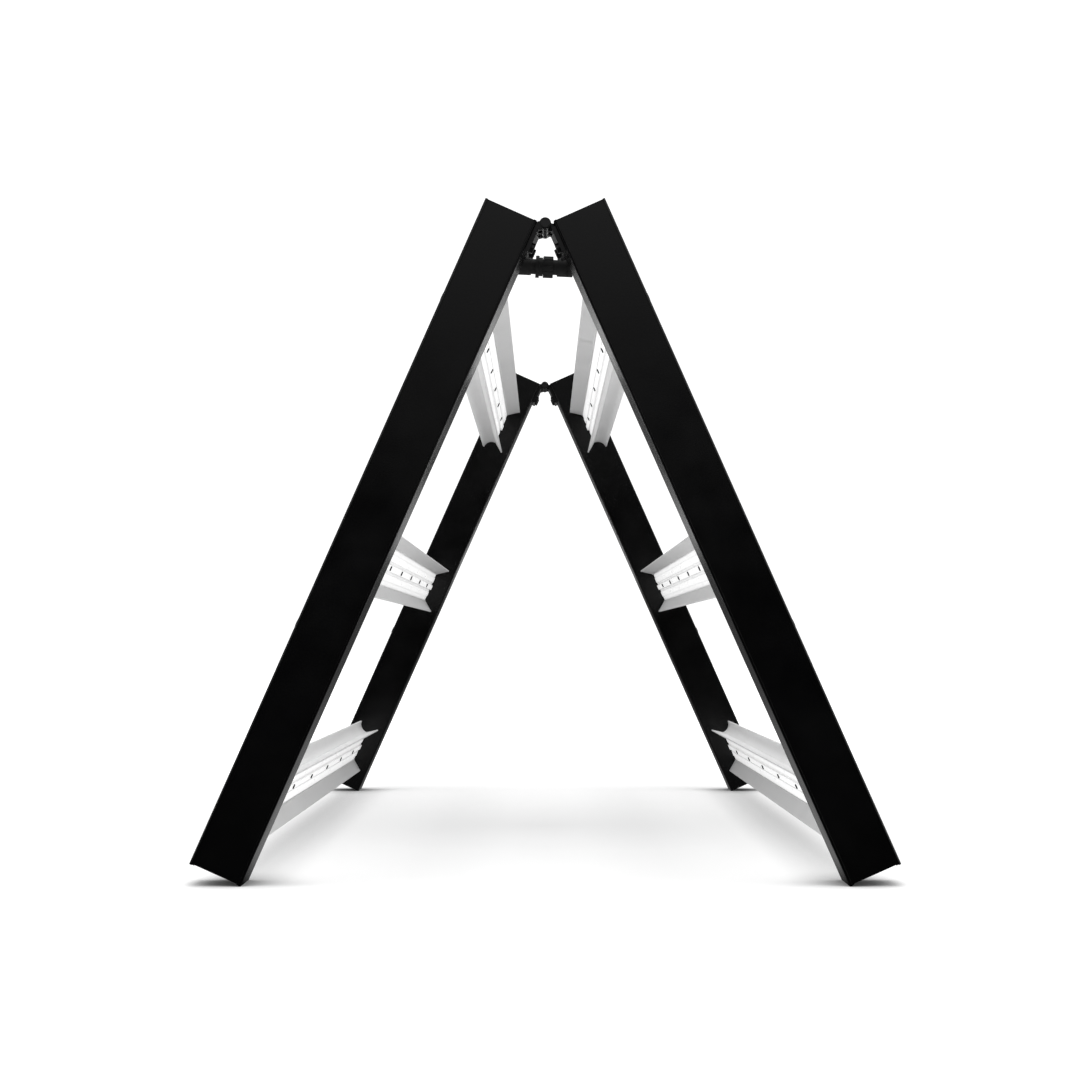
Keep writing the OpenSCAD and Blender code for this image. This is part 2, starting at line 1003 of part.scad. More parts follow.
module dimmer_body_shape() {
  translate([bay_mid, 0, dimmer_z])
    difference() {
      translate([-dimmer_side / 2, bay_depth + bay_wall + gap, -dimmer_side / 2])
        cube([dimmer_side, dimmer_back - bay_depth - bay_wall, dimmer_side]);
      translate([0, bay_depth, 0])
        rod_y(shaft_r + running, shaft_back - bay_depth + gap);
    }
}

module shaft_shape() {
  translate([bay_mid, shaft_front, dimmer_z])
    rod_y(shaft_r, shaft_back - shaft_front);
}

module knob_shape() {
  translate([bay_mid, 0, dimmer_z])
    difference() {
      translate([0, knob_front, 0])
        rod_y(knob_r, knob_back - knob_front);
      translate([0, shaft_front - gap, 0])
        rod_y(shaft_r + shaft_fit, knob_back - shaft_front + past);
      for (i = [0:knob_grips - 1])
        rotate([0, i * 360 / knob_grips, 0])
          translate([knob_r + knob_grip_out, knob_front - past, 0])
            rod_y(knob_grip_r, knob_back - knob_front + past - knob_skirt);
      rotate([0, -dial_gap / 2, 0])
        translate([-pointer_w / 2, knob_front - past, pointer_inset])
          cube([pointer_w, past + pointer_sink, knob_r - 2 * pointer_inset]);
    }
}

module jack_shape() {
  translate([bay_mid - jack_w / 2, bay_depth - jack_sink, jack_z - jack_l / 2])
    difference() {
      cube([jack_w, jack_back - bay_depth + jack_sink, jack_l]);
      translate([jack_wall, -past, jack_wall])
        cube([jack_w - 2 * jack_wall, jack_well + past, jack_l - 2 * jack_wall]);
    }
}

module jack_cap_shape() {
  width = jack_w + 2 * jack_cap_rim;
  height = jack_l + 2 * jack_cap_rim;
  plug_w = jack_w - 2 * (jack_wall + gap);
  plug_l = jack_l - 2 * (jack_wall + gap);
  translate([bay_mid, bay_depth - jack_sink, jack_z]) {
    translate([-width / 2, -jack_cap_t, -height / 2])
      cube([width, jack_cap_t, height]);
    translate([-plug_w / 2, -overlap, -plug_l / 2])
      cube([plug_w, overlap + jack_plug, plug_l]);
  }
}

// ---- Sub-parts of the left leaf ----

module left_near_rail() { color(BLACK_PAINT) on_left() at_near() rail(link = true); }
module left_far_rail() { color(BLACK_PAINT) on_left() at_far() rail(); }
module left_near_cover() { color(BLACK_PAINT) on_left() at_near() cover(); }
module left_far_cover() {
  color(BLACK_PAINT)
    on_left()
      at_far()
        difference() {
          cover();
          bay_opening();
        }
}
module left_head_caps() { color(PLASTIC) on_left() at_both_ends() head_cap(); }
module left_foot_caps() { color(PLASTIC) on_left() at_both_ends() foot_cap(); }
module left_upper_bar() { color(SHADE_WHITE) on_left() at_bar(bar_places[0]) bar(); }
module left_middle_bar() { color(SHADE_WHITE) on_left() at_bar(bar_places[1]) bar(); }
module left_lower_bar() { color(SHADE_WHITE) on_left() at_bar(bar_places[2]) bar(); }
module left_led_boards() { color(BOARD_WHITE) on_left() at_each_bar() led_board(); }
module left_led_packages() { color(LED_AMBER) on_left() at_each_bar() led_rows(); }
module left_lens_covers() { color(LENS_WHITE) on_left() at_each_bar() lens_cover(); }
module left_lens_screws() { color(DARK_STEEL) on_left() at_each_bar() at_lens_screws() lens_screw(); }
module left_bar_screws() { color(STEEL) on_left() at_both_ends() bar_screw_set(); }
module left_drivers() { color(POTTED_GREY) on_left() at_both_ends() driver(); }
module left_driver_screws() { color(DARK_STEEL) on_left() at_both_ends() driver_screw_set(); }
module left_wiring() {
  color(WIRE_RED)
    on_left() {
      at_near()
        near_harness();
      at_far() {
        harness(driver_start);
        supply_lead();
      }
    }
}
module left_wire_grommets() { color(RUBBER) on_left() at_both_ends() wire_grommet_set(); }
module left_hinge_leaves() { color(DARK_STEEL) on_left() at_both_ends() hinge_leaf([0, 2, 4]); }
module left_hinge_bolts() { color(DARK_STEEL) on_left() at_both_ends() hinge_bolt_set(); }
module left_hanger_nuts() { color(STEEL) on_left() at_both_ends() hanger_nut(); }
module left_link_grommet() { color(RUBBER) on_left() at_near() link_grommet(); }

// ---- Sub-parts of the right leaf ----

module right_near_rail() { color(BLACK_PAINT) on_right() at_near() rail(link = true); }
module right_far_rail() { color(BLACK_PAINT) on_right() at_far() rail(); }
module right_near_cover() { color(BLACK_PAINT) on_right() at_near() cover(); }
module right_far_cover() { color(BLACK_PAINT) on_right() at_far() cover(); }
module right_head_caps() { color(PLASTIC) on_right() at_both_ends() head_cap(); }
module right_foot_caps() { color(PLASTIC) on_right() at_both_ends() foot_cap(); }
module right_upper_bar() { color(SHADE_WHITE) on_right() at_bar(bar_places[0]) bar(); }
module right_middle_bar() { color(SHADE_WHITE) on_right() at_bar(bar_places[1]) bar(); }
module right_lower_bar() { color(SHADE_WHITE) on_right() at_bar(bar_places[2]) bar(); }
module right_led_boards() { color(BOARD_WHITE) on_right() at_each_bar() led_board(); }
module right_led_packages() { color(LED_AMBER) on_right() at_each_bar() led_rows(); }
module right_lens_covers() { color(LENS_WHITE) on_right() at_each_bar() lens_cover(); }
module right_lens_screws() { color(DARK_STEEL) on_right() at_each_bar() at_lens_screws() lens_screw(); }
module right_bar_screws() { color(STEEL) on_right() at_both_ends() bar_screw_set(); }
module right_drivers() { color(POTTED_GREY) on_right() at_both_ends() driver(); }
module right_driver_screws() { color(DARK_STEEL) on_right() at_both_ends() driver_screw_set(); }
module right_wiring() {
  color(WIRE_RED)
    on_right() {
      at_near()
        near_harness();
      at_far()
        harness(driver_start);
    }
}
module right_wire_grommets() { color(RUBBER) on_right() at_both_ends() wire_grommet_set(); }
module right_hinge_leaves() { color(DARK_STEEL) on_right() at_both_ends() hinge_leaf([1, 3]); }
module right_hinge_bolts() { color(DARK_STEEL) on_right() at_both_ends() hinge_bolt_set(); }
module right_hanger_nuts() { color(STEEL) on_right() at_both_ends() hanger_nut(); }
module right_link_grommet() { color(RUBBER) on_right() at_near() link_grommet(); }

// ---- Sub-parts between the leaves ----

module hinge_pins() {
  color(DARK_STEEL)
    translate([0, 0, axis_z])
      for (side = [0, 1])
        mirror([0, side, 0])
          translate([0, -fixture_length / 2, 0])
            hinge_pin();
}
module link_plug() { color(PLASTIC) at_link() plug_shape(); }
module link_socket() { color(PLASTIC) at_link() socket_shape(); }
module link_seal() { color(RUBBER) at_link() seal_shape(); }
module link_contacts() { color(STEEL) at_link() contact_shape(); }
module link_nut() { color(PLASTIC) at_link() nut_shape(); }
module left_link_cable() { color(RUBBER) link_cable(); }
module right_link_cable() { color(RUBBER) mirror([1, 0, 0]) link_cable(); }

// ---- Sub-parts of the control bay ----

module control_tray() { color(PLASTIC) on_left() at_far() tray_shape(); }
module mains_inlet() { color(PLASTIC) on_left() at_far() inlet_shape(); }
module dimmer_body() { color(POTTED_GREY) on_left() at_far() dimmer_body_shape(); }
module dimmer_shaft() { color(STEEL) on_left() at_far() shaft_shape(); }
module dimmer_knob() { color(RUBBER) on_left() at_far() knob_shape(); }
module control_jack() { color(PLASTIC) on_left() at_far() jack_shape(); }
module jack_cap() { color(RUBBER) on_left() at_far() jack_cap_shape(); }

left_near_rail();
left_far_rail();
left_near_cover();
left_far_cover();
left_head_caps();
left_foot_caps();
left_upper_bar();
left_middle_bar();
left_lower_bar();
left_led_boards();
left_led_packages();
left_lens_covers();
left_lens_screws();
left_bar_screws();
left_drivers();
left_driver_screws();
left_wiring();
left_wire_grommets();
left_hinge_leaves();
left_hinge_bolts();
left_hanger_nuts();
left_link_grommet();
right_near_rail();
right_far_rail();
right_near_cover();
right_far_cover();
right_head_caps();
right_foot_caps();
right_upper_bar();
right_middle_bar();
right_lower_bar();
right_led_boards();
right_led_packages();
right_lens_covers();
right_lens_screws();
right_bar_screws();
right_drivers();
right_driver_screws();
right_wiring();
right_wire_grommets();
right_hinge_leaves();
right_hinge_bolts();
right_hanger_nuts();
right_link_grommet();
hinge_pins();
link_plug();
link_socket();
link_seal();
link_contacts();
link_nut();
left_link_cable();
right_link_cable();
control_tray();
mains_inlet();
dimmer_body();
dimmer_shaft();
dimmer_knob();
control_jack();
jack_cap();
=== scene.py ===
import json
import math

import bmesh
import bpy
from mathutils import Matrix, Vector


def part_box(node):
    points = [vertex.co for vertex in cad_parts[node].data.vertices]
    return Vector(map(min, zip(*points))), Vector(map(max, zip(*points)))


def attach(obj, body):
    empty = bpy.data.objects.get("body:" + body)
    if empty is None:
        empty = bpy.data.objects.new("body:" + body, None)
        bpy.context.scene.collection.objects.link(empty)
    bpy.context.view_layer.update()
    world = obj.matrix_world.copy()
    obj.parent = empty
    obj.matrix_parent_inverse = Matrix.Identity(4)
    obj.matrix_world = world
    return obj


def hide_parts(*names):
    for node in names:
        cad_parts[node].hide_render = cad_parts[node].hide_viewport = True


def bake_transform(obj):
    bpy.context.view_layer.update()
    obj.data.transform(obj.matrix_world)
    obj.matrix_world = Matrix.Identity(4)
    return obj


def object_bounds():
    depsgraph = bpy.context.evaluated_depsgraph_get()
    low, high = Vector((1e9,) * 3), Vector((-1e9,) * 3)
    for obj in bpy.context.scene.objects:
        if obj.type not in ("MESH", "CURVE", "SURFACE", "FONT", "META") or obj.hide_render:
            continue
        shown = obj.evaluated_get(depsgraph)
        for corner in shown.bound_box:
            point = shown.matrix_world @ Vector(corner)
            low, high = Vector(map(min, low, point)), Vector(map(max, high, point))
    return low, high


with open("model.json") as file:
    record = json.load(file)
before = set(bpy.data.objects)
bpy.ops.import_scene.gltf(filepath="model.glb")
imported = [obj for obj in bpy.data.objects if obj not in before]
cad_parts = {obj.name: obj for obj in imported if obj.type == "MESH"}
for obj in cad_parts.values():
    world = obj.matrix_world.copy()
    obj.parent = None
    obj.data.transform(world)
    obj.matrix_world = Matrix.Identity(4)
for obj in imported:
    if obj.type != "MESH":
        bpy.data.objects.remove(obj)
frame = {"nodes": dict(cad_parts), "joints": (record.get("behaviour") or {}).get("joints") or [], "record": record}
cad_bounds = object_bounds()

# Folding LED grow light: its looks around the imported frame, in metres. Meshes are drawn in millimetres
# in one of these frames, then placed by a matrix.
# Leaf frame: x outward from the lamp side, y along the hinge, z away from the hinge axis.
# Rail frame: the leaf frame moved so that x = 0 is a rail's lamp-side face and y = 0 its outer side.

MM = 0.001
joints = {j["name"]: j for j in frame["joints"]}
nodes = frame["nodes"]
slots = {s["node"]: s["material_slot"] for s in frame["record"]["subparts"]}
paints = {m["slot"]: m for m in frame["record"]["materials"]}

AXIS_Z = joints["left_fold"]["pos_m"][2]
LEAN = math.radians(-joints["left_fold"]["range_deg"][0])
HALF_LENGTH = cad_bounds[1].y
SIDES = ("left", "right")
ENDS = ("near", "far")
BARS = ("upper", "middle", "lower")
# A node's points belong to the near or far rail within this many millimetres of its outer side
RAIL_REACH = 60


# ---- Frames ----

def leaf_matrix(side):
    """Leaf frame to row frame. The right leaf is the left one mirrored."""
    sx = 1 if side == "right" else -1
    s, c = math.sin(LEAN), math.cos(LEAN)
    return Matrix(((sx * c, 0, sx * s, 0), (0, 1, 0, 0), (s, 0, -c, AXIS_Z), (0, 0, 0, 1)))


def rail_matrix(side, end):
    """Rail frame to row frame, for the near or far rail of a leaf."""
    sy = 1 if end == "far" else -1
    face = leaf_box(f"{side}_{end}_rail", side)[0].x * MM
    place = Matrix.Translation((face, sy * HALF_LENGTH, 0))
    return leaf_matrix(side) @ place @ Matrix.Diagonal((1, -sy, 1, 1))


def box_in(matrix, node):
    """Lowest and highest corners of a CAD node in the frame that matrix places, in millimetres."""
    undo = matrix.inverted()
    points = [undo @ v.co for v in nodes[node].data.vertices]
    return [Vector([pick(p[i] for p in points) / MM for i in range(3)]) for pick in (min, max)]


def leaf_box(node, side):
    return box_in(leaf_matrix(side), node)


def rail_box(node, side, end):
    """Box of what a CAD node has at one rail, in that rail's frame."""
    undo = rail_matrix(side, end).inverted()
    points = [undo @ v.co / MM for v in nodes[node].data.vertices]
    near = [p for p in points if p.y < RAIL_REACH]
    return [Vector([pick(p[i] for p in near) for i in range(3)]) for pick in (min, max)]


# ---- Mesh helpers ----

SHARP_ANGLE = 35
WIRE_STEP = 3.0
WIRE_SIDES = 8


def as_piece(name, bm, matrix, *material_slots):
    """Makes a piece of a bmesh in millimetres, in the frame that matrix places. Its own slot is the last."""
    bmesh.ops.scale(bm, vec=(MM, MM, MM), verts=bm.verts)
    bmesh.ops.transform(bm, matrix=matrix, verts=bm.verts)
    bmesh.ops.recalc_face_normals(bm, faces=bm.faces)
    mesh = bpy.data.meshes.new(name)
    bm.to_mesh(mesh)
    bm.free()
    for face in mesh.polygons:
        face.use_smooth = True
    mesh.set_sharp_from_angle(angle=math.radians(SHARP_ANGLE))
    piece = bpy.data.objects.new(name, mesh)
    bpy.context.scene.collection.objects.link(piece)
    for material_slot in material_slots:
        piece.data.materials.append(materials[material_slot])
    return piece


def smooth_path(points, steps):
    """Catmull-Rom curve through points, with the given steps per span."""
    pts = [Vector(p) for p in points]
    pts = [2 * pts[0] - pts[1]] + pts + [2 * pts[-1] - pts[-2]]
    path = []
    for a, b, c, d in zip(pts, pts[1:], pts[2:], pts[3:]):
        for i in range(steps):
            t = i / steps
            path.append(0.5 * (2 * b + (c - a) * t + (2 * a - 5 * b + 4 * c - d) * t * t
                               + (3 * b - a - 3 * c + d) * t ** 3))
    path.append(pts[-2])
    return path


def loft(bm, rings, material=0):
    """Closed skin through rings of points, each ring having as many points as the first."""
    rings = [[bm.verts.new(p) for p in ring] for ring in rings]
    faces = [bm.faces.new(list(reversed(rings[0]))), bm.faces.new(rings[-1])]
    for lower, upper in zip(rings, rings[1:]):
        for k in range(len(lower)):
            n = (k + 1) % len(lower)
            faces.append(bm.faces.new((lower[k], lower[n], upper[n], upper[k])))
    for face in faces:
        face.material_index = material


def circle(radius, steps):
    """Points (u, v) round a circle."""
    angles = (2 * math.pi * k / steps for k in range(steps))
    return [(radius * math.cos(a), radius * math.sin(a)) for a in angles]


def rounded_square(half, corner, steps=3):
    """Points (u, v) round a square whose corners are arcs."""
    points = []
    for quarter in range(4):
        turn = quarter * math.pi / 2
        middle = turn + math.pi / 4
        cx, cy = ((half - corner) * math.sqrt(2) * f(middle) for f in (math.cos, math.sin))
        points += [(cx + corner * math.cos(turn + a), cy + corner * math.sin(turn + a))
                   for a in (k * math.pi / 2 / steps for k in range(steps + 1))]
    return points


def rounded_path(points, radius, steps=5):
    """Straight runs between points, with the inner ones rounded to about radius."""
    pts = [Vector(p) for p in points]
    path = [pts[0]]
    for a, b, c in zip(pts, pts[1:], pts[2:]):
        room = min(radius, (a - b).length * 0.45, (c - b).length * 0.45)
        start = b + (a - b).normalized() * room
        end = b + (c - b).normalized() * room
        path += [(1 - t) ** 2 * start + 2 * t * (1 - t) * b + t * t * end
                 for t in (k / steps for k in range(steps + 1))]
    return path + [pts[-1]]


def resample(path, step):
    """The same path in even steps of about step."""
    lengths = [0.0]
    for a, b in zip(path, path[1:]):
        lengths.append(lengths[-1] + (b - a).length)
    count = max(2, round(lengths[-1] / step))
    even, i = [], 0
    for k in range(count + 1):
        goal = lengths[-1] * k / count
        while i < len(path) - 2 and lengths[i + 1] < goal:
            i += 1
        even.append(path[i].lerp(path[i + 1], (goal - lengths[i]) / (lengths[i + 1] - lengths[i])))
    return even


def frames_along(path):
    """Yields each point of path and two directions square to the path there, which don't twist."""
    runs = [(b - a).normalized() for a, b in zip(path, path[1:])]
    tangents = [runs[0]] + [(a + b).normalized() for a, b in zip(runs, runs[1:])] + [runs[-1]]
    across = tangents[0].orthogonal().normalized()
    for centre, along in zip(path, tangents):
        across = (across - along * across.dot(along)).normalized()
        yield centre, across, along.cross(across)


def sweep(bm, path, radius, sides=14):
    """Round tube along path, closed at both ends. radius(t) gives the radius at share t of its points."""
    last = len(path) - 1
    loft(bm, [[centre + u * across + v * other for u, v in circle(radius(i / last), sides)]
              for i, (centre, across, other) in enumerate(frames_along(path))])


def twist(bm, path, wires, wire_radius, lay):
    """Round wires twisted about path, one turn in each length lay. Lengths in millimetres."""
    path = resample(path, WIRE_STEP)
    spread = wire_radius / math.sin(math.pi / wires) if wires > 1 else 0
    for w in range(wires):
        strand = []
        for i, (centre, across, other) in enumerate(frames_along(path)):
            angle = 2 * math.pi * (w / wires + i * WIRE_STEP / lay)
            strand.append(centre + spread * (math.cos(angle) * across + math.sin(angle) * other))
        sweep(bm, strand, lambda t: wire_radius, WIRE_SIDES)


# ---- Materials ----

class Tree:
    """A node tree, with short ways to add to it."""

    def __init__(self, tree):
        self.tree = tree

    def find(self, kind):
        return next(n for n in self.tree.nodes if n.type == kind)

    def add(self, kind, **settings):
        node = self.tree.nodes.new(kind)
        for key, value in settings.items():
            setattr(node, key, value)
        return node

    def feed(self, value, target):
        """Links a socket to target, or sets target's value."""
        if isinstance(value, bpy.types.NodeSocket):
            self.tree.links.new(value, target)
        else:
            target.default_value = value

    def maths(self, operation, a, b=None, scale=None):
        """Vector maths."""
        node = self.add("ShaderNodeVectorMath", operation=operation)
        self.feed(a, node.inputs[0])
        if b is not None:
            self.feed(b, node.inputs[1])
        if scale is not None:
            node.inputs["Scale"].default_value = scale
        return node.outputs["Value" if operation in ("DOT_PRODUCT", "LENGTH") else "Vector"]

    def sum(self, operation, a, b=0.0):
        """Number maths."""
        node = self.add("ShaderNodeMath", operation=operation)
        self.feed(a, node.inputs[0])
        self.feed(b, node.inputs[1])
        return node.outputs[0]

    def axes(self, vector):
        """The X, Y and Z of a vector."""
        node = self.add("ShaderNodeSeparateXYZ")
        self.feed(vector, node.inputs[0])
        return node.outputs

    def spread(self, value, low, high, to_low=0.0, to_high=1.0):
        """Maps low..high to to_low..to_high, clamped."""
        node = self.add("ShaderNodeMapRange")
        self.feed(value, node.inputs["Value"])
        for name, number in zip(("From Min", "From Max", "To Min", "To Max"), (low, high, to_low, to_high)):
            node.inputs[name].default_value = number
        return node.outputs["Result"]

    def between(self, share, a, b):
        """Number a where share is 0, b where it is 1."""
        rest = self.sum("SUBTRACT", 1.0, share)
        return self.sum("ADD", self.sum("MULTIPLY", a, rest), self.sum("MULTIPLY", b, share))

    def by_ray(self, other, camera, glossy):
        """A number of its own for camera rays, for glossy rays and for all others."""
        ray = self.add("ShaderNodeLightPath")
        value = self.between(ray.outputs["Is Glossy Ray"], other, glossy)
        return self.between(ray.outputs["Is Camera Ray"], value, camera)

    def blend(self, share, a, b):
        """Colour a where share is 0, b where it is 1."""
        node = self.add("ShaderNodeMix", data_type="RGBA")
        self.feed(share, node.inputs["Factor"])
        colors = [s for s in node.inputs if s.type == "RGBA"]
        for value, target in zip((a, b), colors):
            self.feed((*value, 1) if isinstance(value, tuple) and len(value) == 3 else value, target)
        return next(s for s in node.outputs if s.type == "RGBA")


class Paint(Tree):
    """A procedural material around one Principled shader. Textures run in object space, in millimetres."""

    def __init__(self, name, color, roughness, metallic=0.0, specular=0.5):
        self.material = bpy.data.materials.new(name)
        self.material.use_nodes = True
        super().__init__(self.material.node_tree)
        self.shader = self.find("BSDF_PRINCIPLED")
        self.put("Base Color", (*color, 1))
        self.put("Roughness", roughness)
        self.put("Metallic", metallic)
        self.put("Specular IOR Level", specular)
        coord = self.add("ShaderNodeTexCoord")
        self.mm = self.maths("SCALE", coord.outputs["Object"], scale=1 / MM)
        self.normal = None

    def put(self, name, value):
        self.feed(value, self.shader.inputs[name])

    def noise(self, size, detail=3.0, stretch=(1, 1, 1), shift=0.0):
        """Noise whose features are about size millimetres across, times stretch along each axis."""
        scaled = self.maths("MULTIPLY", self.mm, tuple(1 / (size * s) for s in stretch))
        moved = self.maths("ADD", scaled, (shift, shift, shift))
        node = self.add("ShaderNodeTexNoise")
        self.feed(moved, node.inputs["Vector"])
        node.inputs["Scale"].default_value = 1.0
        node.inputs["Detail"].default_value = detail
        return node.outputs["Fac"]

    def soften(self, radius):
        """Rounds edges in shading by radius millimetres, and returns a mask that is 1 on those edges."""
        node = self.add("ShaderNodeBevel", samples=4)
        node.inputs["Radius"].default_value = radius * MM
        self.normal = node.outputs["Normal"]
        flat = self.add("ShaderNodeNewGeometry").outputs["Normal"]
        turn = self.maths("DOT_PRODUCT", self.normal, flat)
        return self.spread(turn, 0.985, 0.86)

    def bump(self, height, depth, strength=1.0):
        """Adds relief of depth millimetres on top of what is there."""
        node = self.add("ShaderNodeBump")
        node.inputs["Strength"].default_value = strength
        node.inputs["Distance"].default_value = depth * MM
        self.feed(height, node.inputs["Height"])
        if self.normal is not None:
            self.feed(self.normal, node.inputs["Normal"])
        self.normal = node.outputs["Normal"]

    def done(self):
        if self.normal is not None:
            self.put("Normal", self.normal)
        return self.material


def powder_coat(name, color, roughness, specular, wear_color, wear):
    """Powder coat: orange peel, slight clouding, and thin paint with small rubbed spots along its edges."""
    paint = Paint(name, color, roughness, specular=specular)
    edge = paint.soften(0.35)
    cloud = paint.spread(paint.noise(size=70, detail=4), 0.35, 0.65)
    lighter = tuple(c * 1.4 for c in color)
    darker = tuple(c * 0.7 for c in color)
    spots = paint.spread(paint.noise(size=5, detail=5, shift=3.1), 0.5, 0.72)
    rub = paint.sum("MULTIPLY", edge, spots)
    base = paint.blend(cloud, darker, lighter)
    paint.put("Base Color", paint.blend(paint.sum("MULTIPLY", rub, wear), base, wear_color))
    smear = paint.noise(size=35, detail=5, shift=7.7)
    paint.put("Roughness", paint.spread(smear, 0.3, 0.7, roughness - 0.03, roughness + 0.05))
    paint.bump(paint.noise(size=1.6, detail=1), 0.012, 0.5)
    paint.bump(paint.noise(size=0.35, detail=1, shift=1.3), 0.003, 0.4)
    return paint.done()


def extrusion_paint(name, color):
    """White coat over an extrusion: die lines along y under the orange peel, a little dust, and a painted
    highlight along its edges.
    """
    paint = Paint(name, color, 0.42, specular=0.4)
    edge = paint.soften(0.3)
    lines = paint.noise(size=0.7, detail=2, stretch=(1, 260, 1))
    dust = paint.spread(paint.noise(size=40, detail=6, shift=2.2), 0.45, 0.75)
    dull = paint.blend(paint.sum("MULTIPLY", dust, 0.25), color, tuple(c * 0.93 for c in color))
    # Painted highlight: the edges are painted lighter
    paint.put("Base Color", paint.blend(paint.sum("MULTIPLY", edge, 0.2), dull, (0.94, 0.94, 0.94)))
    paint.put("Roughness", paint.spread(paint.noise(size=25, detail=4, shift=5.0), 0.3, 0.7, 0.34, 0.48))
    paint.bump(lines, 0.012, 0.35)
    paint.bump(paint.noise(size=0.8, detail=2, shift=9.0), 0.014, 0.4)
    return paint.done()


# Painted glow on the lens, with painted shade near a neighbour: how near a neighbour shades it, in millimetres,
# and the glow there and in the open
LENS_SHADE = 5
LENS_PAINTED_GLOW = (0.08, 0.56)


def lens_plastic(name, color):
    """Frosted lens extrusion: fine ribs along it, and a painted glow that stands in for the light on it from all
    round, with painted shade where neighbours are near.
    """
    paint = Paint(name, color, 0.3, specular=0.5)
    paint.soften(0.2)
    paint.put("Transmission Weight", 0.05)
    # Painted shade: ambient occlusion dims the painted glow near ridges, screws and wings
    shade = paint.add("ShaderNodeAmbientOcclusion", samples=6)
    shade.inputs["Distance"].default_value = LENS_SHADE * MM
    # Painted glow: the lens glows for the camera and in reflections, though it is no lamp
    paint.put("Emission Color", (1, 1, 1, 1))
    painted_glow = paint.spread(shade.outputs["AO"], 0.3, 1.0, *LENS_PAINTED_GLOW)
    paint.put("Emission Strength", paint.by_ray(0.0, painted_glow, painted_glow))
    paint.put("Roughness", paint.spread(paint.noise(size=14, detail=4), 0.3, 0.7, 0.26, 0.4))
    paint.bump(paint.noise(size=0.45, detail=1, stretch=(1, 400, 1)), 0.03, 0.5)
    paint.bump(paint.noise(size=0.2, detail=2, shift=4.0), 0.004, 0.4)
    return paint.done()


def board_mask(name, color):
    """White solder mask over copper: pale tracks along the board, faint relief."""
    paint = Paint(name, color, 0.38, specular=0.45)
    tracks = paint.spread(paint.noise(size=2.2, detail=1, stretch=(1, 60, 1)), 0.52, 0.55)
    specks = paint.spread(paint.noise(size=1.1, detail=2, shift=6.0), 0.68, 0.72)
    base = paint.blend(paint.sum("MULTIPLY", tracks, 0.35), color, (0.83, 0.80, 0.70))
    paint.put("Base Color", paint.blend(paint.sum("MULTIPLY", specks, 0.2), base, (0.66, 0.62, 0.5)))
    paint.bump(tracks, 0.035, 0.6)
    return paint.done()


def moulded(name, color, roughness, grain, depth, specular=0.4, wear=0.12):
    """Moulded plastic or rubber: fine grain, soft edges, a little bloom on its surface."""
    paint = Paint(name, color, roughness, specular=specular)
    edge = paint.soften(0.22)
    bloom = paint.spread(paint.noise(size=9, detail=5, shift=2.7), 0.4, 0.7)
    paler = tuple(c * 1.5 + 0.003 for c in color)
    base = paint.blend(paint.sum("MULTIPLY", bloom, 0.35), color, paler)
    worn = tuple(c + 0.03 for c in color)
    paint.put("Base Color", paint.blend(paint.sum("MULTIPLY", edge, wear), base, worn))
    paint.put("Roughness", paint.spread(bloom, 0, 1, roughness - 0.06, roughness + 0.08))
    paint.bump(paint.noise(grain, detail=3), depth, 0.6)
    return paint.done()


def metal(name, color, roughness, tint):
    """Plated or oxidised metal: mottled plating, fine scratches."""
    paint = Paint(name, color, roughness, metallic=1.0)
    paint.soften(0.15)
    mottle = paint.spread(paint.noise(size=2.4, detail=5), 0.35, 0.7)
    paint.put("Base Color", paint.blend(mottle, color, tint))
    scratches = paint.spread(paint.noise(size=0.3, detail=4, stretch=(1, 9, 1), shift=8.0), 0.4, 0.75)
    paint.put("Roughness", paint.spread(scratches, 0, 1, roughness - 0.08, roughness + 0.14))
    paint.bump(scratches, 0.006, 0.4)
    return paint.done()


def phosphor(name, color):
    """LED packages: yellow phosphor in a pale housing."""
    paint = Paint(name, color, 0.35)
    grains = paint.spread(paint.noise(size=0.35, detail=4), 0.35, 0.65)
    paint.put("Base Color", paint.blend(grains, color, tuple(min(1.0, c * 1.15 + 0.03) for c in color)))
    paint.bump(grains, 0.02, 0.4)
    return paint.done()


def color_of(slot_name):
    return tuple(paints[slot_name]["base_color"][:3])


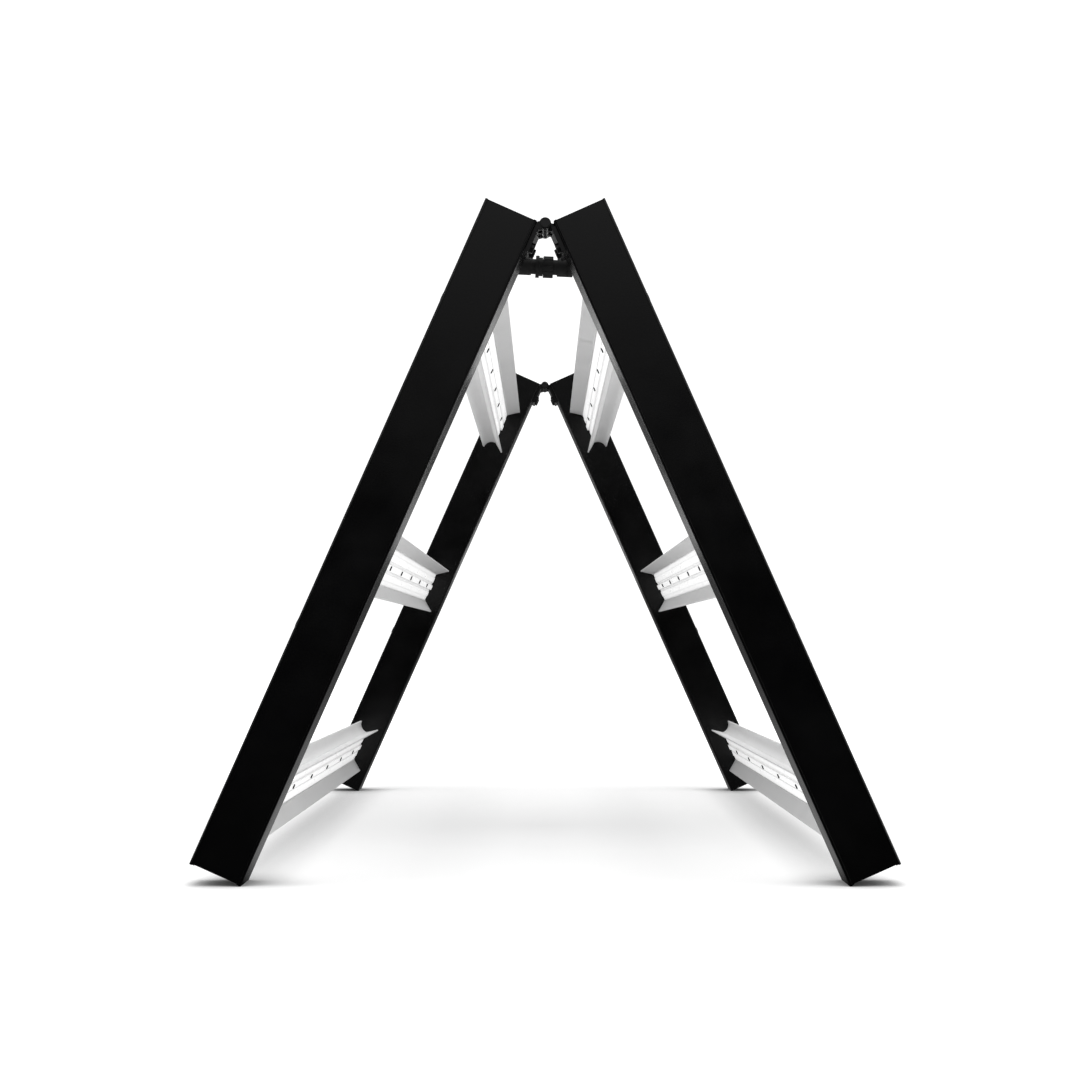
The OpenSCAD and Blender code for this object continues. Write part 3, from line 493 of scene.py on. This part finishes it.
# powder_coat: colour, roughness, specular, worn colour, wear.
# moulded: colour, roughness, grain size and depth in millimetres, specular, wear.
# metal: colour, roughness, tint.
RECIPES = {
    "rail_black": (powder_coat, (0.0006, 0.0006, 0.0007), 0.2, 0.24, (0.05, 0.05, 0.05), 0.2),
    "cover_black": (powder_coat, (0.0005, 0.0005, 0.0006), 0.2, 0.24, (0.03, 0.03, 0.03), 0.15),
    "hinge_dark": (powder_coat, (0.001, 0.001, 0.0011), 0.2, 0.25, (0.12, 0.12, 0.12), 0.3),
    "bar_white": (extrusion_paint, (0.86, 0.86, 0.86)),
    "lens_frosted": (lens_plastic, (0.92, 0.92, 0.92)),
    "board_white": (board_mask, color_of("board_white")),
    "led_phosphor": (phosphor, color_of("led_phosphor")),
    "cap_plastic": (moulded, (0.011, 0.011, 0.012), 0.58, 0.35, 0.02),
    "screw_black": (moulded, (0.004, 0.004, 0.0042), 0.32, 0.2, 0.006, 0.25, 0.2),
    "wire_red": (moulded, color_of("wire_red"), 0.4, 0.5, 0.01),
    "rubber_black": (moulded, (0.005, 0.005, 0.005), 0.6, 0.3, 0.015),
    "cable_black": (moulded, (0.004, 0.004, 0.004), 0.5, 0.5, 0.02),
    "connector_black": (moulded, (0.019, 0.019, 0.019), 0.55, 0.25, 0.012, 0.15, 0.2),
    "knob_black": (moulded, color_of("knob_black"), 0.66, 0.2, 0.012, 0.3, 0.3),
    "screw_steel": (metal, (0.5, 0.51, 0.53), 0.33, (0.62, 0.6, 0.55)),
    "driver_grey": (metal, (0.2, 0.21, 0.22), 0.48, (0.26, 0.27, 0.28)),
    "contact_brass": (metal, color_of("contact_brass"), 0.25, (0.6, 0.42, 0.16)),
}
materials = {name: recipe(name, *settings) for name, (recipe, *settings) in RECIPES.items()}

for name, node in nodes.items():
    node.data.materials.clear()
    node.data.materials.append(materials[slots[name]])


# ---- Link cables, bending between the leaves and the connector ----

CABLE_R = 3.2
CABLE_SIDES = 20
CABLE_STEPS = 10
# How far the cable goes into its grommet, into the connector, and straight on before it bends
CABLE_START = 6.0
CABLE_GRIP = 1.2
CABLE_STRAIGHT = 4.2
# Bends: from the lip of the grommet, and between there and the connector
LIP_BEND = Vector((-0.4, 3.4, -0.3))
SIDE_BEND = Vector((-4.6, -4.2, -0.8))


def link_cable(side):
    """Cable from inside the near rail, through its grommet and round to the back of the plug or socket."""
    sx = 1 if side == "right" else -1
    mirror = Matrix.Diagonal((sx, 1, 1))
    grommet_lo, grommet_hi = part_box(f"{side}_link_grommet")
    grommet = (grommet_lo + grommet_hi) / 2
    body_lo, body_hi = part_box("link_socket" if side == "right" else "link_plug")
    joint = Vector(joints["coupling_spin"]["pos_m"])
    axis = Vector(joints["coupling_spin"]["axis"]) * sx
    reach = (body_hi.x if side == "right" else -body_lo.x) / abs(axis.x)
    rear = joint + axis * (reach - CABLE_GRIP * MM)
    start = Vector((grommet.x, grommet_lo.y - CABLE_START * MM, joint.z))
    lip = Vector((start.x, grommet_hi.y, joint.z))
    corner = Vector((lip.x, rear.y, (lip.z + rear.z) / 2))
    points = [start, start + Vector((0, 8 * MM, 0)), lip, lip + mirror @ LIP_BEND * MM,
              corner + mirror @ SIDE_BEND * MM, rear + axis * CABLE_STRAIGHT * MM, rear]
    bm = bmesh.new()
    sweep(bm, [p / MM for p in smooth_path(points, CABLE_STEPS)], lambda t: CABLE_R, CABLE_SIDES)
    piece = as_piece(f"{side}_cable", bm, Matrix.Identity(4), "cable_black")
    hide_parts(f"{side}_link_cable")
    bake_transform(piece)


for side in SIDES:
    link_cable(side)


# ---- Wires in the rails, in place of the plain CAD harness ----

TRUNK_R = 2.0
BRANCH_R = 1.5
TRUNK_Y = 40.5
TRUNK_WIRE = 0.9
BRANCH_WIRE = 0.7
WIRE_LAY = 45.0
WIRE_BEND = 4.0
LEAD_REACH = 6.0
TAPE_LENGTH = 10.0
TAPE_R = 2.25
TAPE_STEPS = 8


def harness(side, end):
    """Twisted wires down one rail, with branches to the bars, the driver, the link cable and the inlet."""
    lo, hi = rail_box(f"{side}_wiring", side, end)
    driver_lo, driver_hi = rail_box(f"{side}_drivers", side, end)
    driver = (driver_lo + driver_hi) / 2
    trunk_x = lo.x + TRUNK_R
    duct_x = hi.x - BRANCH_R
    lead_z = driver_hi.z + LEAD_REACH

    def trunk(z):
        return Vector((trunk_x, TRUNK_Y, z))

    bars = [leaf_box(f"{side}_{bar}_bar", side) for bar in BARS]
    joins = [(bar_lo.z + bar_hi.z) / 2 for bar_lo, bar_hi in bars]
    routes = [[trunk(z), (duct_x, TRUNK_Y, z), (duct_x, hi.y, z)] for z in joins]
    routes.append([trunk(lead_z), (trunk_x, driver.y, lead_z), (driver.x, driver.y, lead_z),
                   (driver.x, driver.y, driver_hi.z)])
    if end == "near":
        grommet_lo, grommet_hi = rail_box(f"{side}_link_grommet", side, end)
        out = (grommet_lo + grommet_hi) / 2
        routes.append([trunk(out.z), (out.x, TRUNK_Y, out.z), (out.x, grommet_lo.y, out.z)])
    elif side == "left":
        inlet_lo, inlet_hi = rail_box("mains_inlet", side, end)
        z = (inlet_lo.z + inlet_hi.z) / 2 - LEAD_REACH
        y = inlet_hi.y + BRANCH_R
        routes.append([trunk(z), (trunk_x, y, z), ((inlet_lo.x + inlet_hi.x) / 2, y, z)])
    wires = bmesh.new()
    twist(wires, [trunk(lo.z), trunk(hi.z)], 3, TRUNK_WIRE, WIRE_LAY)
    for route in routes:
        twist(wires, rounded_path(route, WIRE_BEND), 2, BRANCH_WIRE, WIRE_LAY / 2)
    tape = bmesh.new()
    for route in routes:
        middle = min(max(route[0].z, lo.z + TAPE_LENGTH / 2), hi.z - TAPE_LENGTH / 2)
        path = [trunk(middle + TAPE_LENGTH * (k / TAPE_STEPS - 0.5)) for k in range(TAPE_STEPS + 1)]
        sweep(tape, path, lambda t: TAPE_R * (1 - 0.2 * abs(2 * t - 1) ** 3), 16)
    place = rail_matrix(side, end)
    for name, bm, material_slot in (("wires", wires, "wire_red"), ("tape", tape, "rubber_black")):
        piece = as_piece(f"{side}_{end}_{name}", bm, place, material_slot)
        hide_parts(f"{side}_wiring")
        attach(piece, f"{side}_leaf")


# ---- LED packages, in place of the plain CAD ones ----

LED_SIDE = 5.0
LED_CORNER = 0.35
LEDS_PER_ROW = 26
# Housing: x and the cut from each side there
HOUSING = ((0.4, 0), (-0.2, 0), (-0.35, 0.18))
DOME_X = -0.3
DOME_R = 1.9
DOME_SIDES = 16
DOME_RINGS = 5
DOME_RISE = 0.12


def led_package(bm, centre):
    """Housing with chamfered front edges, and a shallow phosphor dome in it. The front faces -x."""
    half = LED_SIDE / 2

    def ring(x, outline):
        return [centre + Vector((x, u, v)) for u, v in outline]

    loft(bm, [ring(x, rounded_square(half - cut, LED_CORNER)) for x, cut in HOUSING])
    rises = (k * math.pi / 2 / DOME_RINGS for k in range(DOME_RINGS))
    dome = [ring(DOME_X - DOME_RISE * math.sin(a), circle(DOME_R * math.cos(a), DOME_SIDES)) for a in rises]
    loft(bm, [ring(DOME_X, circle(DOME_R + 0.05, DOME_SIDES))] + dome, 1)


def led_packages(side):
    lo, hi = leaf_box(f"{side}_led_packages", side)
    bars = [leaf_box(f"{side}_{bar}_bar", side) for bar in BARS]
    middles = [(bar_lo.z + bar_hi.z) / 2 for bar_lo, bar_hi in bars]
    row_offset = middles[0] - lo.z - LED_SIDE / 2
    pitch = (hi.y - lo.y - LED_SIDE) / (LEDS_PER_ROW - 1)
    bm = bmesh.new()
    for middle in middles:
        for row in (-1, 1):
            for k in range(LEDS_PER_ROW):
                y = lo.y + LED_SIDE / 2 + k * pitch
                led_package(bm, Vector(((lo.x + hi.x) / 2, y, middle + row * row_offset)))
    piece = as_piece(f"{side}_led_chips", bm, leaf_matrix(side), "board_white", "led_phosphor")
    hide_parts(f"{side}_led_packages")
    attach(piece, f"{side}_leaf")


for side in SIDES:
    led_packages(side)
    for end in ENDS:
        harness(side, end)


# ---- Control bay, in the left far rail's frame: outward is -y ----

BAY = rail_matrix("left", "far")
# From the front of the dimmer's body to the floor of the tray
TRAY_FLOOR = 1.6
TICKS = 11
TICKS_PER_LONG = 5
TICK_SWEEP = 300
TICK_GAP = 1.1
TICK_LONG = 2.4
TICK_SHORT = 1.5
TICK_WIDTH = 0.7
# Tick heights, from inside the floor to above it
TICK_LEVELS = (0.05, -0.2)
SNOUT_R = 8.0
FLANGE_DEPTH = 3.5
THREAD_START = 1.2
THREAD_END = 1.0
THREAD_PITCH = 1.5
THREAD_R = 0.3
THREAD_STEPS = 28
PIN_RING = 3.2
PIN_R = 1.25
# Depths below the inlet's rim, and shares of the full radius there
PIN_PROFILE = ((8.2, 1.0), (2.6, 1.0), (1.6, 0.95), (1.1, 0.7), (0.85, 0.3))
CORD_R = 0.8
# Cord ends, from the jack cap's middle and lowest corner
CORD_START = Vector((3.4, 1.1, 1.0))
CORD_END = Vector((11.0, 0.1, -5.5))
# Button over the cord's end: heights and radii
BUTTON_PROFILE = ((0, 2.2), (-0.7, 2.2), (-1.1, 1.9), (-1.3, 1.2))


def bay_box(node):
    lo, hi = box_in(BAY, node)
    return lo, hi, (lo + hi) / 2


def bay_piece(name, bm, material_slot):
    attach(as_piece(name, bm, BAY, material_slot), "left_leaf")


def turned(bm, base, profile, sides):
    """Solid turned about y, from base. The profile holds y and radius."""
    radii = [radius for _, radius in profile]
    last = len(profile) - 1
    sweep(bm, [base + Vector((0, y, 0)) for y, _ in profile], lambda t: radii[round(t * last)], sides)


def tray_floor():
    return bay_box("dimmer_body")[0].y - TRAY_FLOOR


def dimmer_scale():
    """Printed marks round the knob, over its travel, with the gap at the foot."""
    knob_lo, knob_hi, knob = bay_box("dimmer_knob")
    inner = (knob_hi.x - knob_lo.x) / 2 + TICK_GAP
    centre = Vector((knob.x, tray_floor(), knob.z))
    bm = bmesh.new()
    for k in range(TICKS):
        angle = math.radians(90 + (360 - TICK_SWEEP) / 2 + TICK_SWEEP * k / (TICKS - 1))
        out = Vector((math.cos(angle), 0, math.sin(angle)))
        across = Vector((-math.sin(angle), 0, math.cos(angle))) * TICK_WIDTH / 2
        outer = inner + (TICK_SHORT if k % TICKS_PER_LONG else TICK_LONG)
        corners = [centre + out * inner - across, centre + out * inner + across,
                   centre + out * outer + across, centre + out * outer - across]
        loft(bm, [[c + Vector((0, y, 0)) for c in corners] for y in TICK_LEVELS])
    bay_piece("dimmer_scale", bm, "bar_white")


def inlet_details():
    """Screw thread round the inlet's snout, and its brass pins."""
    rim, _, mid = bay_box("mains_inlet")
    flange = bay_box("control_tray")[1].y - FLANGE_DEPTH
    turns = (flange - rim.y - THREAD_START - THREAD_END) / THREAD_PITCH
    steps = round(turns * THREAD_STEPS)
    angles = (2 * math.pi * turns * k / steps for k in range(steps + 1))
    path = [Vector((mid.x + SNOUT_R * math.cos(a), rim.y + THREAD_START + THREAD_PITCH * a / (2 * math.pi),
                    mid.z + SNOUT_R * math.sin(a))) for a in angles]
    thread = bmesh.new()
    sweep(thread, path, lambda t: THREAD_R * min(1.0, 0.2 + 12 * min(t, 1 - t)), 6)
    bay_piece("inlet_thread", thread, "connector_black")
    pins = bmesh.new()
    for k in range(3):
        angle = math.radians(90 + 120 * k)
        base = Vector((mid.x + PIN_RING * math.cos(angle), rim.y, mid.z - PIN_RING * math.sin(angle)))
        turned(pins, base, [(depth, PIN_R * share) for depth, share in PIN_PROFILE], 16)
    bay_piece("inlet_pins", pins, "contact_brass")


def jack_tether():
    """Soft cord that keeps the jack's cap on the tray."""
    cap_lo, _, cap = bay_box("jack_cap")
    start = Vector((cap.x, cap_lo.y, cap_lo.z)) + CORD_START
    end = Vector((cap.x, tray_floor(), cap_lo.z)) + CORD_END
    points = [start, start + Vector((0.6, -0.9, -2.2)), (start + end) / 2 + Vector((1.0, -3.4, -1.0)),
              end + Vector((0.3, -1.6, 0.6)), end]
    bm = bmesh.new()
    sweep(bm, smooth_path(points, 8), lambda t: CORD_R, 12)
    turned(bm, end, BUTTON_PROFILE, 20)
    bay_piece("jack_tether", bm, "rubber_black")


dimmer_scale()
inlet_details()
jack_tether()


# ---- Studio ----

FLOOR_SIZE = 14.0
LAMP_HEIGHT = 2.2
LAMP_SIZE = 1.4
LAMP_POWER = 22

# Floor and surroundings are of different brightness for the camera, in reflections, and as light.
# Each ramp is low, high, and the level at both. Without levels it runs from 0 to 1.
FLOOR_ALBEDO = 0.6
FLOOR_ALBEDO_LIGHT = 0.3
FLOOR_ALBEDO_SHEEN = 0.02
# Over the distance from the middle of the stand, and for the light from a point behind it, in metres. The white is
# low near the stand, which paints shade on the floor there
FLOOR_WHITE = (0.0, 1.4, 0.26, 1.0)
FLOOR_LIGHT = (0.8, 1.9, 0.1, 0.95)
FLOOR_LIGHT_MIDDLE = 1.2
# Shade where something stands on the floor: its reach in metres, and the white left there
CONTACT_REACH = 0.06
CONTACT_SHADE = (0.3, 0.85)
# In reflections: the floor from the near rails back, fading, and the floor beside the stand
UNDER_EDGE = (-0.52, -0.4)
UNDER_FADE = (-0.2, 1.0, 0.28, 0.05)
BESIDE_EDGE = (0.5, 0.9, 0.0, 0.9)
BESIDE_FRONT = (-1.5, -0.9)
# Surroundings, over the X, Y or Z of a direction
SKY_WHITE = 1.2
SKY_AHEAD_Y = (-0.6, 0.5, 0.85, 0.0)
SKY_ABOVE_Z = (0.1, 0.6, 0.0, 0.42)
SHEEN_BEHIND_Y = (-0.2, 0.2)
SHEEN_AHEAD_Z = (0.09, 0.24, 0.0, 1.0)
SHEEN_BEHIND_Z = (0.0, 0.3, 0.03, 0.4)
SHEEN_SIDE_X = (0.35, 0.7, 0.0, 1.6)


def studio_floor():
    """Pale floor that fades to white away from the stand, with painted shade near the stand and painted contact
    shade where things stand on it.
    """
    bm = bmesh.new()
    bmesh.ops.create_grid(bm, x_segments=1, y_segments=1, size=FLOOR_SIZE)
    mesh = bpy.data.meshes.new("floor")
    bm.to_mesh(mesh)
    bm.free()
    floor = bpy.data.objects.new("floor", mesh)
    bpy.context.scene.collection.objects.link(floor)
    paint = Paint("floor", (1, 1, 1), 0.9, specular=0.0)
    place = paint.maths("SCALE", paint.mm, scale=MM)
    along = paint.axes(place)
    level = paint.by_ray(FLOOR_ALBEDO_LIGHT, FLOOR_ALBEDO, FLOOR_ALBEDO_SHEEN)
    tone = paint.add("ShaderNodeCombineColor")
    for channel in ("Red", "Green", "Blue"):
        paint.feed(level, tone.inputs[channel])
    paint.put("Base Color", tone.outputs["Color"])
    paint.put("Roughness", paint.spread(paint.noise(size=60), 0.3, 0.7, 0.85, 0.95))
    # Painted shade: for the camera the floor's white is lower near the stand, and ambient occlusion lowers it
    # where things stand
    white = paint.spread(paint.maths("LENGTH", place), *FLOOR_WHITE)
    contact = paint.add("ShaderNodeAmbientOcclusion", samples=8)
    contact.inputs["Distance"].default_value = CONTACT_REACH
    white = paint.sum("MULTIPLY", white, paint.spread(contact.outputs["AO"], *CONTACT_SHADE))
    from_middle = paint.maths("LENGTH", paint.maths("ADD", place, (0, -FLOOR_LIGHT_MIDDLE, 0)))
    light = paint.spread(from_middle, *FLOOR_LIGHT)
    edge = paint.spread(along["Y"], *UNDER_EDGE)
    under = paint.sum("MULTIPLY", edge, paint.spread(along["Y"], *UNDER_FADE))
    aside = paint.spread(paint.sum("ABSOLUTE", along["X"]), *BESIDE_EDGE)
    beside = paint.sum("MULTIPLY", aside, paint.spread(along["Y"], *BESIDE_FRONT))
    paint.put("Emission Color", (1, 1, 1, 1))
    paint.put("Emission Strength", paint.by_ray(light, white, paint.sum("ADD", under, beside)))
    floor.data.materials.append(paint.done())


def studio_world():
    """White surroundings. Reflections see them dark near the horizon."""
    world = bpy.data.worlds.new("studio")
    world.use_nodes = True
    bpy.context.scene.world = world
    tree = Tree(world.node_tree)
    way = tree.axes(tree.add("ShaderNodeTexCoord").outputs["Generated"])
    light = tree.sum("ADD", tree.spread(way["Y"], *SKY_AHEAD_Y), tree.spread(way["Z"], *SKY_ABOVE_Z))
    ahead = tree.spread(way["Z"], *SHEEN_AHEAD_Z)
    behind = tree.spread(way["Z"], *SHEEN_BEHIND_Z)
    sheen = tree.between(tree.spread(way["Y"], *SHEEN_BEHIND_Y), ahead, behind)
    sheen = tree.sum("MAXIMUM", sheen, tree.spread(way["X"], *SHEEN_SIDE_X))
    background = tree.find("BACKGROUND")
    background.inputs["Color"].default_value = (1, 1, 1, 1)
    tree.feed(tree.by_ray(light, SKY_WHITE, sheen), background.inputs["Strength"])


def overhead_lamp():
    """Square soft light above the stand, facing down, which no reflection shows."""
    light = bpy.data.lights.new("overhead", "AREA")
    light.shape = "RECTANGLE"
    light.size = light.size_y = LAMP_SIZE
    light.energy = LAMP_POWER
    lamp = bpy.data.objects.new("overhead", light)
    lamp.location = (0, -0.1, LAMP_HEIGHT)
    lamp.visible_glossy = False
    bpy.context.scene.collection.objects.link(lamp)


def camera():
    """Level camera in front of the near end, a little lower than the middle bars."""
    data = bpy.data.cameras.new("camera")
    data.lens = 71.7
    data.sensor_width = 36
    data.shift_x = -0.0039
    data.shift_y = 0.0931
    item = bpy.data.objects.new("camera", data)
    item.location = (-0.75 * MM, -2.142, 0.184)
    item.rotation_euler = (math.pi / 2, 0, 0)
    bpy.context.scene.collection.objects.link(item)
    bpy.context.scene.camera = item


studio_floor()
studio_world()
overhead_lamp()
camera()
bpy.context.scene.view_settings.view_transform = "Standard"
